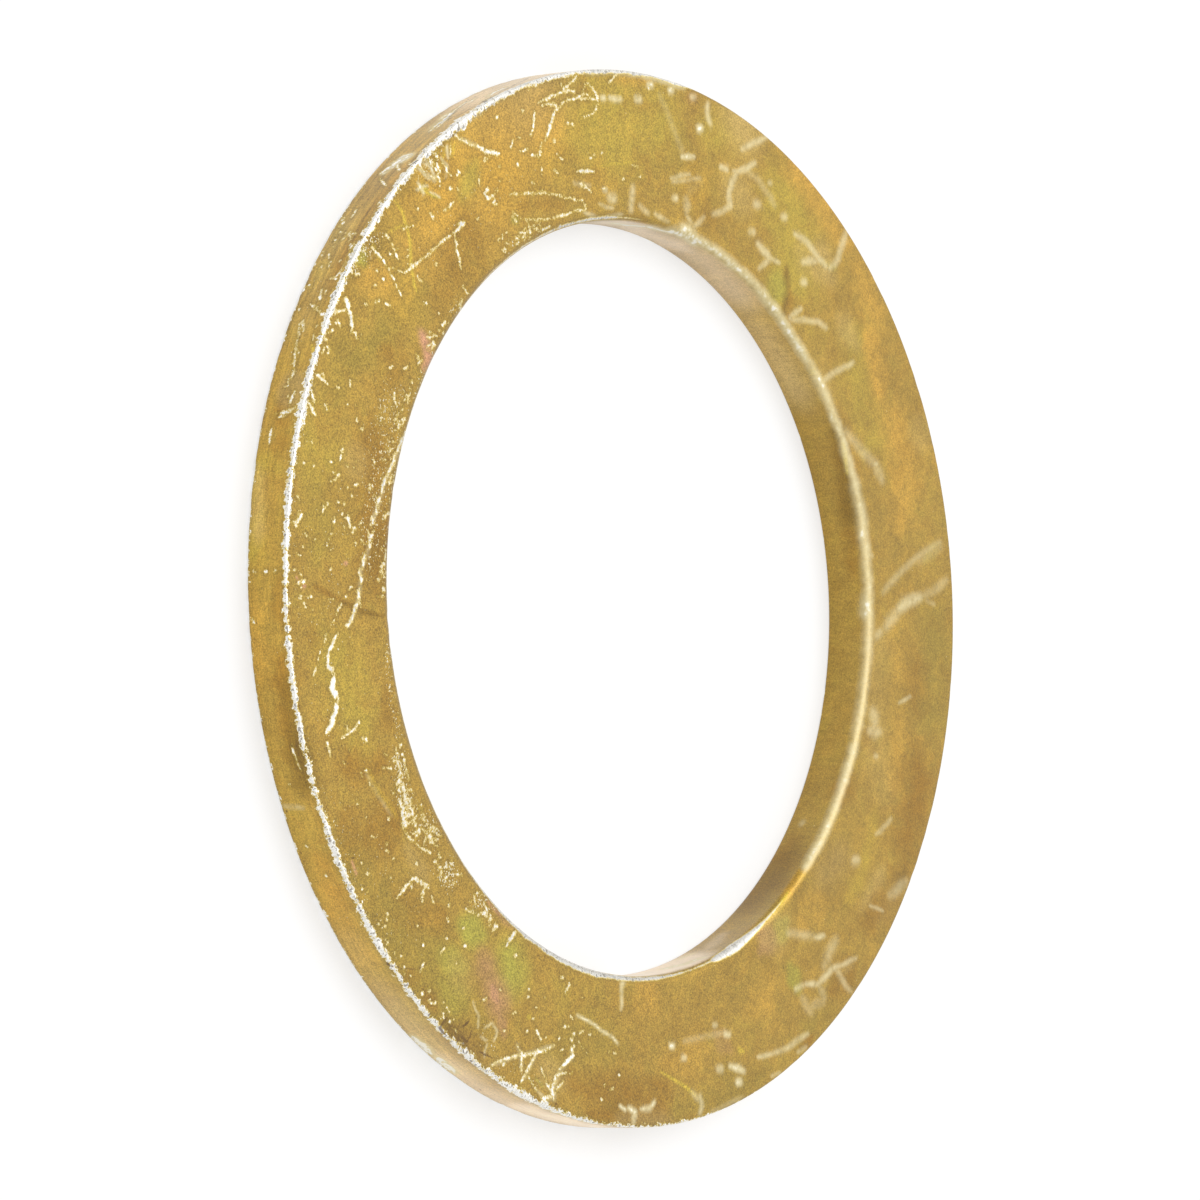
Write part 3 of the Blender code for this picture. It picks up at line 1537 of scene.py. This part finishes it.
def worn_edges(places, angle):
    """How far inside a worn edge's line each place lies, in BARE_UNIT. The line swells and thins."""
    worn = np.full(len(places), -EDGE_FAR)
    for edge, half, seed in (
        (EDGE_TOP_OUTER, np.interp(angle, *OUTER_WEAR, period=2 * math.pi), 31),
        (EDGE_TOP_BORE, np.interp(angle, *BORE_WEAR_ROUND, period=2 * math.pi), 41),
        (EDGE_BOTTOM_OUTER, np.where(angle > 0, UNSEEN_EDGE, -UNSEEN_EDGE), 51),
        (EDGE_BOTTOM_BORE, -UNSEEN_EDGE, 61),
    ):
        swell = LEAST_SWELL
        for share, length, later in SWELLS:
            swell = swell + share * ripple(angle, length, edge[0], seed + later)
        width = np.where(half > 0, half * swell, half)
        worn = np.maximum(worn, np.minimum((width - edge_distance(places, edge)) / BARE_UNIT, EDGE_MOST))
    return worn


def painted_edge_shade(places, angle):
    """A dark line of painted shade along the bottom outer edge, on the side that the photograph shows."""
    broken = EDGE_SHADE_LEAST + EDGE_SHADE_MORE * ripple(angle, EDGE_SHADE_WAVE, section.outer, EDGE_SHADE_SEED)
    near = smooth(1 - edge_distance(places, EDGE_BOTTOM_OUTER) / EDGE_SHADE_REACH)
    return np.where(angle < 0, broken * near, 0)


# How sharply the walls part from the faces, and the places that the photograph shows from the rest
WALL_STEEPNESS, WALL_START = 2.4, 1.6
UNSEEN_STEEPNESS, UNSEEN_START = 4, 0.5


def paint(places, angle, outward):
    """The layers of wear and tint, with a painted highlight and painted shade among them, as values at
    the mesh's points.
    """
    layers = {
        "edge": worn_edges(places, angle),
        "bare": bare_depth(bare_marks, places),
        # Soft pale marks, and the painted highlight along the bore's rolled edge
        "haze": soft_amount(soft_marks_and_sheen, places),
        "flecks": soft_amount(fleck_marks, places),
        "streaked": soft_amount(streak_marks, places),
        # Dark marks, and the painted shade along the bottom outer edge
        "stain": np.maximum(soft_amount(dark_marks, places), painted_edge_shade(places, angle)),
    }
    for tint, marks in tint_marks.items():
        layers[tint] = soft_amount(marks, places)
    on_rim = np.hypot(places[:, 0], places[:, 1]) > (section.outer + section.bore) / 2
    layers["calm"] = np.maximum(soft_amount(calm_marks, places), ~on_rim)
    upright = smooth(WALL_START - WALL_STEEPNESS * np.abs(outward[:, 2]))
    layers["rim"] = on_rim * upright
    layers["bore_wall"] = ~on_rim * upright
    layers["unseen"] = smooth(UNSEEN_START + UNSEEN_STEEPNESS * (outward @ np.array(CAMERA_FORWARD)))
    return layers


# The nicked edges: seed, edge and share of the full depth
NICKED_EDGES = ((71, EDGE_TOP_OUTER, 1.0), (81, EDGE_TOP_BORE, 0.5), (91, EDGE_BOTTOM_OUTER, 0.6))
NICK_DEPTH = 0.05 * MM
NICK_REACH = 0.22 * MM
# Two waves of noise are multiplied, and what is above the threshold is a nick
SHORT_NICKS, LONG_NICKS = 0.5 * MM, 2.3 * MM
NICK_THRESHOLD, NICK_RANGE = 0.25, 0.5
# The nicks are shallower on the side towards +Y. This is how far they take to reach their full depth.
NICK_FADE = 8 * MM
LEAST_NICK = 0.2
GROOVE_DEPTH = 0.010 * MM
GROOVE_STEEPNESS, GROOVE_START = 0.8, 0.5


def carve(places, outward, angle, bare):
    """Moves points inwards: nicks along the edges and a shallow groove in each bare scratch."""
    depth = GROOVE_DEPTH * smooth(bare * GROOVE_STEEPNESS + GROOVE_START)
    worn = LEAST_NICK + (1 - LEAST_NICK) * smooth(-places[:, 1] / NICK_FADE)
    for seed, edge, share in NICKED_EDGES:
        nicks = ripple(angle, SHORT_NICKS, edge[0], seed) * ripple(angle, LONG_NICKS, edge[0], seed + 1)
        nicks = smooth((nicks - NICK_THRESHOLD) / NICK_RANGE)
        reach = smooth(1 - edge_distance(places, edge) / NICK_REACH)
        depth = depth + share * NICK_DEPTH * worn * nicks * reach
    return places - outward * depth[:, None]


def make_ring():
    angle, along, triangles = refine(*base_grid())
    places = section.place(angle, along)
    outward = section.outward(angle, along)
    layers = paint(places, angle, outward)
    mesh = bpy.data.meshes.new("worn_washer")
    mesh.from_pydata(carve(places, outward, angle, layers["bare"]).tolist(), [], triangles.tolist())
    for name, values in layers.items():
        layer = mesh.attributes.new(name, "FLOAT", "POINT")
        layer.data.foreach_set("value", values.astype(np.float32))
    mesh.shade_smooth()
    return linked(bpy.data.objects.new("worn_washer", mesh))


# Materials


class Value:
    """A number in a material's nodes, so that sums with it are written as plain arithmetic."""

    def __init__(self, graph, socket):
        self.graph = graph
        self.socket = socket

    def __add__(self, other):
        return self.graph.math("ADD", self, other)

    def __mul__(self, other):
        return self.graph.math("MULTIPLY", self, other)

    def __sub__(self, other):
        return self.graph.math("SUBTRACT", self, other)

    def __rsub__(self, other):
        return self.graph.math("SUBTRACT", other, self)

    def at_least(self, other):
        return self.graph.math("MAXIMUM", self, other)

    def at_most(self, other):
        return self.graph.math("MINIMUM", self, other)

    def band(self, low, high):
        """0 at low, 1 at high and a smooth step between."""
        inputs = {"Value": self, "From Min": low, "From Max": high}
        node = self.graph.node("ShaderNodeMapRange", inputs, interpolation_type="SMOOTHSTEP")
        return Value(self.graph, node.outputs["Result"])


class Graph:
    """A material's nodes, made and linked in one call each."""

    def __init__(self, material):
        material.use_nodes = True
        self.nodes = material.node_tree.nodes
        self.links = material.node_tree.links
        self.nodes.clear()

    def node(self, kind, inputs=None, **settings):
        node = self.nodes.new(kind)
        for name, value in settings.items():
            setattr(node, name, value)
        for name, value in (inputs or {}).items():
            socket = node.inputs[name]
            if isinstance(value, Value):
                self.links.new(value.socket, socket)
            elif isinstance(value, bpy.types.NodeSocket):
                self.links.new(value, socket)
            else:
                socket.default_value = value[:3] if socket.type == "VECTOR" else value
        return node

    def math(self, operation, *values):
        node = self.node("ShaderNodeMath", dict(enumerate(values)), operation=operation)
        return Value(self, node.outputs[0])

    def layer(self, name):
        return Value(self, self.node("ShaderNodeAttribute", attribute_name=name).outputs["Fac"])

    def noise(self, place, size, detail, roughness, distortion, stretch=None):
        """Noise from -0.5 to 0.5 whose bumps are about a size in metres."""
        if stretch:
            place = self.node("ShaderNodeMapping", {"Vector": place, "Scale": stretch}).outputs[0]
        inputs = {"Vector": place, "Scale": 1 / size, "Detail": detail}
        inputs.update({"Roughness": roughness, "Distortion": distortion})
        return Value(self, self.node("ShaderNodeTexNoise", inputs).outputs["Fac"]) - 0.5

    def blend(self, share, under, over):
        return self.node("ShaderNodeMix", {0: share, 6: under, 7: over}, data_type="RGBA").outputs[2]

    def shaded(self, colour, factor):
        node = self.node("ShaderNodeVectorMath", {0: colour, "Scale": factor}, operation="SCALE")
        return node.outputs[0]


def tone(red, green, blue):
    """A colour given as it looks on a screen, 0 to 255, as the shader's linear values: the sRGB curve."""
    levels = []
    for level in (red, green, blue):
        share = level / 255
        levels.append(share / 12.92 if share <= 0.04045 else ((share + 0.055) / 1.055) ** 2.4)
    return (*levels, 1.0)


GOLD = tone(168, 136, 54)
YELLOW = tone(212, 186, 62)
# The film's tints in the order that they are laid on, and how much of its colour a full mark shows
FILM_TINTS = {
    "olive": (tone(174, 150, 56), 0.9),
    "moss": (tone(155, 131, 50), 0.9),
    "orange": (tone(193, 152, 60), 0.9),
    "amber": (tone(208, 162, 56), 0.7),
    # Brown and umber also carry the painted shade on the far bore wall
    "brown": (tone(152, 114, 34), 0.9),
    "umber": (tone(126, 98, 24), 0.9),
    "green": (tone(168, 158, 62), 0.9),
    "pink": (tone(178, 136, 90), 0.8),
    "rose": (tone(206, 152, 118), 0.9),
    "pale": (tone(190, 162, 92), 0.8),
    "dull": (tone(164, 138, 80), 0.8),
    "beige": (tone(232, 210, 178), 0.9),
    "yellow": (YELLOW, 0.8),
}
BARE_ZINC = tone(250, 248, 240)
WORN_CREAM = tone(228, 210, 150)
# Pale haze, and the colour of the painted highlight along the bore's rolled edge
PALE_HAZE_AND_SHEEN = tone(230, 217, 168)
GREY_PIT = tone(112, 102, 84)
# Dark stains, and the colour of painted shade beside worn metal and along the bottom outer edge
DARK_STAIN_AND_SHADE = tone(92, 64, 26)

# Scales of the place. A small one draws a noise's bumps out along its axis.
ALONG_Z = (1, 1, 0.06)
ROUND_Z = (0.1, 0.1, 1)
# The noises: the size of their bumps in metres, detail, roughness, distortion and stretch
NOISES = {
    "pinpricks": (0.085 * MM, 1, 0.6, 0),
    "pepper": (0.1 * MM, 1, 0.6, 0),
    "grain": (0.055 * MM, 1, 0.6, 0),
    "specks": (0.13 * MM, 2, 0.6, 0),
    "chips": (0.24 * MM, 2, 0.6, 0.3),
    "patches": (0.6 * MM, 3, 0.6, 0.4),
    "blotches": (1.1 * MM, 3, 0.6, 0.8),
    "drifts": (3.0 * MM, 4, 0.55, 0.8),
    "clouds": (7.0 * MM, 3, 0.55, 0.6),
    "strands": (0.12 * MM, 2, 0.6, 0, ALONG_Z),
    "hoops": (0.09 * MM, 2, 0.6, 0, ROUND_Z),
    "streaks": (0.2 * MM, 3, 0.6, 0.5, ROUND_Z),
}

# The side towards +Y is smoother than the other: the Y where it is all smooth, and where all crisp
SMOOTH_Y, CRISP_Y = 15 * MM, -4 * MM

# How the film's own mottle breaks up the tints, and how far three of them drift by themselves
DRIFT_MOTTLE, PATCH_MOTTLE = 0.9, 0.8
STRAY, UNSEEN_STRAY = 0.7, 3.6
BLOTCH_STRAY, PATCH_STRAY = 1.5, 0.9
UNBROKEN_TINTS = ("beige", "yellow")

# How much each noise lightens and darkens the film
GRAIN_LIGHT, SPECK_LIGHT, CHIP_LIGHT = 1.8, 0.45, 0.25
FINE_LIGHT, CRISP_FINE_LIGHT, PLAIN_FINE_LOSS = 0.72, 0.33, 0.7
PATCH_LIGHT, CRISP_PATCH_LOSS = 0.42, 0.2
DRIFT_LIGHT, STRAND_LIGHT, HOOP_LIGHT, STREAK_LIGHT = 0.25, 0.3, 0.7, 2.2
# The whole rim is lightened: painted light
RIM_PAINTED_LIGHT = 0.3
LEAST_LIGHT = 0.3

# Soft pale marks and the painted highlight along the bore's rolled edge: how they break up, how pale they
# are, and the haze and painted glints that are as bright as zinc
HAZE_CHIPS, HAZE_BREAK, CRISP_HAZE_BREAK, HAZE_LEVEL = 0.8, 1.2, 0.6, 0.88
HAZE_SHEEN_SHARE = 0.85
BRIGHT_HAZE_AND_GLINT, BRIGHT_SHARE = (0.9, 1.4), 0.8

# The ragged borders of scratches and of torn edges, by noise
RAGGED_GRAIN, RAGGED_SPECKS = 1.2, 1.6
SCRATCH_CHIPS = 1.9
TORN_CHIPS, TORN_RAGGED, TORN_PATCHES = 5.0, 1.7, 2.5
SMOOTH_TORN, CRISP_TORN, CALM_TORN_LOSS = 0.15, 0.85, 0.72
# Where the pinpricks break through the film, how steeply, and the most that they bare
FLECK_HELP, FLECK_LIMIT, FLECK_STEEPNESS, FLECK_START, FLECK_MOST = 0.24, 0.36, 9.0, 0.2, 0.22

# What shows at each depth into worn metal: a band of depth and a share. Just outside worn metal, the
# first band is a dark ring of painted shade.
SHADE_RING_BAND, SHADE_RING_SHARE = (-1.5, -0.8), 0.22
FRINGE_BAND, FRINGE_SHARE = (-0.8, -0.3), 0.3
CREAM_BAND, CREAM_SHARE = (-0.35, 0.0), 0.85
ZINC_BAND = (0.0, 0.4)
ZINC_CHIPS, ZINC_SPECKS, ZINC_LEVEL, CALM_ZINC_LOSS = 0.9, 0.8, 0.88, 0.14
# Grey pits in the worn edges, dark stains with the painted shade along the bottom outer edge, and a
# pepper of dark specks among the flecks
SPECK_PITS, CHIP_PITS, PIT_EDGE, PIT_SHARE = (0.08, 0.16), (0.1, 0.16), (-0.9, 0.2), 0.75
STAIN_SHADE_SPECKS, STAIN_SHADE_BAND, STAIN_SHADE_SHARE = 1.2, (0.25, 0.7), 0.8
PEPPER_CHIPS, PEPPER_BAND, PEPPER_SHARE = (0.12, 0.0), (0.1, 0.2), 0.55

# The shine: roughness, how little of it is metal under haze, bumps and the clear coat
ROUGHNESS, PATCH_ROUGHNESS, BARE_SMOOTHNESS, HAZE_ROUGHNESS = 0.43, 0.14, 0.06, 0.22
HAZE_METAL_LOSS = 0.45
BUMP_GRAIN, BUMP_SPECKS, BUMP_HOOPS = 0.6, 0.8, 0.8
BUMP = {"Distance": 0.010 * MM, "Strength": 0.3}
COAT = {"Coat Weight": 0.6, "Coat Roughness": 0.3, "Coat IOR": 1.5}


class Film(Graph):
    """Yellow passivation on zinc: a thin film of uneven colour, worn through to pale metal."""

    def __init__(self, material):
        super().__init__(material)
        place = self.node("ShaderNodeTexCoord").outputs["Object"]
        noise = SimpleNamespace(**{name: self.noise(place, *form) for name, form in NOISES.items()})
        self.noises = noise
        self.rim = self.layer("rim")
        self.wall = self.rim + self.layer("bore_wall")
        self.flecks = self.layer("flecks")
        self.edge = self.layer("edge")
        self.calm = self.layer("calm")
        y = self.node("ShaderNodeSeparateXYZ", {"Vector": place}).outputs["Y"]
        self.crisp = Value(self, y).band(SMOOTH_Y, CRISP_Y)
        self.plain = self.layer("beige") * self.wall
        self.ragged = noise.grain * RAGGED_GRAIN + noise.specks * RAGGED_SPECKS
        broken = (noise.chips * HAZE_CHIPS + noise.patches) * (self.crisp * CRISP_HAZE_BREAK + HAZE_BREAK)
        self.haze = self.layer("haze") * (broken + HAZE_LEVEL)
        self.worn = self.worn_depth()
        self.bare = self.worn.band(*ZINC_BAND)

    def film_colour(self):
        """Each tint where it was painted, its border broken up by the film's own mottle."""
        noise = self.noises
        mottle = noise.drifts * DRIFT_MOTTLE + noise.patches * PATCH_MOTTLE + 1
        stray = self.layer("unseen") * UNSEEN_STRAY + STRAY
        drifting = noise.drifts * stray + noise.blotches * BLOTCH_STRAY
        drifts = {
            "olive": drifting,
            "orange": noise.clouds * stray + noise.patches * PATCH_STRAY,
            "brown": drifting * -1,
        }
        colour = GOLD
        for tint, (over, most) in FILM_TINTS.items():
            amount = self.plain if tint == "beige" else self.layer(tint)
            if tint in drifts:
                amount = amount + drifts[tint]
            if tint not in UNBROKEN_TINTS:
                amount = amount * mottle
            colour = self.blend(amount * most, colour, over)
        return colour

    def film_light(self):
        """Light and dark grain, with painted light that lightens the whole rim, as a factor of the film's
        colour.
        """
        noise = self.noises
        fine = noise.grain * GRAIN_LIGHT + noise.specks * SPECK_LIGHT + noise.chips * CHIP_LIGHT
        fine = fine * (1 - self.plain * PLAIN_FINE_LOSS)
        light = fine * (self.crisp * CRISP_FINE_LIGHT + FINE_LIGHT)
        light += noise.patches * (PATCH_LIGHT - self.crisp * CRISP_PATCH_LOSS)
        light += noise.drifts * DRIFT_LIGHT
        light += noise.strands * self.wall * STRAND_LIGHT
        light += noise.hoops * self.rim * HOOP_LIGHT
        light += noise.streaks * self.layer("streaked") * STREAK_LIGHT
        # Painted light: the whole rim lighter
        light += self.rim * RIM_PAINTED_LIGHT
        return (light + 1).at_least(LEAST_LIGHT)

    def worn_depth(self):
        """How far each place lies inside the bare metal's ragged border, negative outside it."""
        noise = self.noises
        scratch = self.layer("bare") + noise.chips * SCRATCH_CHIPS + self.ragged
        torn = noise.chips * TORN_CHIPS + self.ragged * TORN_RAGGED + noise.patches * TORN_PATCHES
        torn = torn * (self.crisp * CRISP_TORN + SMOOTH_TORN) * (1 - self.calm * CALM_TORN_LOSS)
        fleck = noise.pinpricks + self.flecks * FLECK_HELP - FLECK_LIMIT
        fleck = (fleck * FLECK_STEEPNESS + FLECK_START).at_most(FLECK_MOST)
        return scratch.at_least(self.edge + torn).at_least(fleck)

    def colour(self):
        """The film, then everything that is laid over it: haze with a painted highlight, a ring of
        painted shade beside worn metal, worn metal, pits, and stains with painted shade.
        """
        noise = self.noises
        glint = noise.chips * ZINC_CHIPS + noise.specks * ZINC_SPECKS
        zinc = self.shaded(BARE_ZINC, glint + (ZINC_LEVEL - self.calm * CALM_ZINC_LOSS))
        pits = noise.specks.band(*SPECK_PITS).at_least(noise.chips.band(*CHIP_PITS))
        pits = pits * self.edge.band(*PIT_EDGE) * self.crisp
        stain = (noise.specks * STAIN_SHADE_SPECKS + self.layer("stain")).band(*STAIN_SHADE_BAND)
        pepper = noise.chips.band(*PEPPER_CHIPS) * self.flecks * noise.pepper.band(*PEPPER_BAND)
        coats = (
            # Pale haze and the painted highlight, whose brightest spots are painted as glints as bright
            # as zinc
            (self.haze * HAZE_SHEEN_SHARE, PALE_HAZE_AND_SHEEN),
            (self.haze.band(*BRIGHT_HAZE_AND_GLINT) * BRIGHT_SHARE, BARE_ZINC),
            # A dark ring of painted shade just outside worn metal
            (self.worn.band(*SHADE_RING_BAND) * self.crisp * SHADE_RING_SHARE, DARK_STAIN_AND_SHADE),
            (self.worn.band(*FRINGE_BAND) * FRINGE_SHARE, YELLOW),
            (self.worn.band(*CREAM_BAND) * CREAM_SHARE, WORN_CREAM),
            (self.bare, zinc),
            (pits * PIT_SHARE, GREY_PIT),
            # Dark stains, and the painted shade along the bottom outer edge
            (stain * STAIN_SHADE_SHARE, DARK_STAIN_AND_SHADE),
            (pepper * PEPPER_SHARE, DARK_STAIN_AND_SHADE),
        )
        colour = self.shaded(self.film_colour(), self.film_light())
        for share, over in coats:
            colour = self.blend(share, colour, over)
        return colour

    def shade(self):
        """The shader. Constant values stay on its own sockets."""
        noise = self.noises
        haze = self.haze.at_most(1)
        rough = noise.patches * PATCH_ROUGHNESS + haze * HAZE_ROUGHNESS + ROUGHNESS
        height = noise.grain * BUMP_GRAIN + noise.specks * BUMP_SPECKS
        height += (noise.hoops + 0.5) * self.rim * BUMP_HOOPS
        inputs = {
            "Base Color": self.colour(),
            "Metallic": 1 - haze * (1 - self.rim) * HAZE_METAL_LOSS,
            "Roughness": rough - self.bare * BARE_SMOOTHNESS,
            "Normal": self.node("ShaderNodeBump", {"Height": height, **BUMP}).outputs["Normal"],
        }
        shader = self.node("ShaderNodeBsdfPrincipled", {**inputs, **COAT})
        self.node("ShaderNodeOutputMaterial", {"Surface": shader.outputs[0]})


plating = bpy.data.materials.new("yellow_passivated_zinc")
Film(plating).shade()
ring = make_ring()
ring.data.materials.append(plating)
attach(ring, "root")
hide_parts("flat_washer")


# Floor and light

FLOOR_HALF = 0.5
# A hair below the ring's face, so that the two don't lie in one plane
FLOOR_GAP = 0.02 * MM
PAPER = (0.42, 0.42, 0.42, 1.0)
PAPER_GLOW = 0.64
WORLD_DIFFUSE = 0.62
WHITE = (1.0, 1.0, 1.0, 1.0)
KEY_PLACE = Vector((-0.25, 0.15, 0.7))
KEY_SIZE = 0.6
KEY_ENERGY = 2.6


def seen_by_eye(graph):
    """1 for rays from the camera and for those that reflections send, 0 for light on the object."""
    path = graph.node("ShaderNodeLightPath").outputs
    seen = Value(graph, path["Is Camera Ray"]).at_least(path["Is Glossy Ray"])
    return seen.at_least(path["Is Transmission Ray"])


def make_floor():
    """White paper that isn't seen from below."""
    mesh = bpy.data.meshes.new("floor")
    corners = [(-1, -1), (1, -1), (1, 1), (-1, 1)]
    mesh.from_pydata([(x * FLOOR_HALF, y * FLOOR_HALF, 0) for x, y in corners], [], [(0, 1, 2, 3)])
    floor = linked(bpy.data.objects.new("floor", mesh))
    floor.location.z = cad_low.z - FLOOR_GAP
    material = bpy.data.materials.new("paper")
    graph = Graph(material)
    paper = graph.node("ShaderNodeBsdfDiffuse", {"Color": PAPER})
    glow = graph.node("ShaderNodeEmission", {"Strength": seen_by_eye(graph) * PAPER_GLOW})
    both = graph.node("ShaderNodeAddShader", {0: paper.outputs[0], 1: glow.outputs[0]})
    from_below = graph.node("ShaderNodeNewGeometry").outputs["Backfacing"]
    clear = graph.node("ShaderNodeBsdfTransparent")
    mixed = graph.node("ShaderNodeMixShader", {0: from_below, 1: both.outputs[0], 2: clear.outputs[0]})
    graph.node("ShaderNodeOutputMaterial", {"Surface": mixed.outputs[0]})
    mesh.materials.append(material)


def make_world():
    world = bpy.data.worlds.new("studio")
    bpy.context.scene.world = world
    graph = Graph(world)
    levels = {"Value": seen_by_eye(graph), "To Min": WORLD_DIFFUSE, "To Max": 1.0}
    strength = graph.node("ShaderNodeMapRange", levels).outputs[0]
    white = graph.node("ShaderNodeBackground", {"Color": WHITE, "Strength": strength})
    graph.node("ShaderNodeOutputWorld", {"Surface": white.outputs[0]})


def make_key():
    data = bpy.data.lights.new("key", "AREA")
    data.shape = "DISK"
    data.size = KEY_SIZE
    data.energy = KEY_ENERGY
    key = linked(bpy.data.objects.new("key", data))
    key.location = KEY_PLACE
    key.rotation_euler = (-KEY_PLACE).to_track_quat("-Z", "Y").to_euler()


make_floor()
make_world()
make_key()
bpy.context.scene.view_settings.view_transform = "Standard"
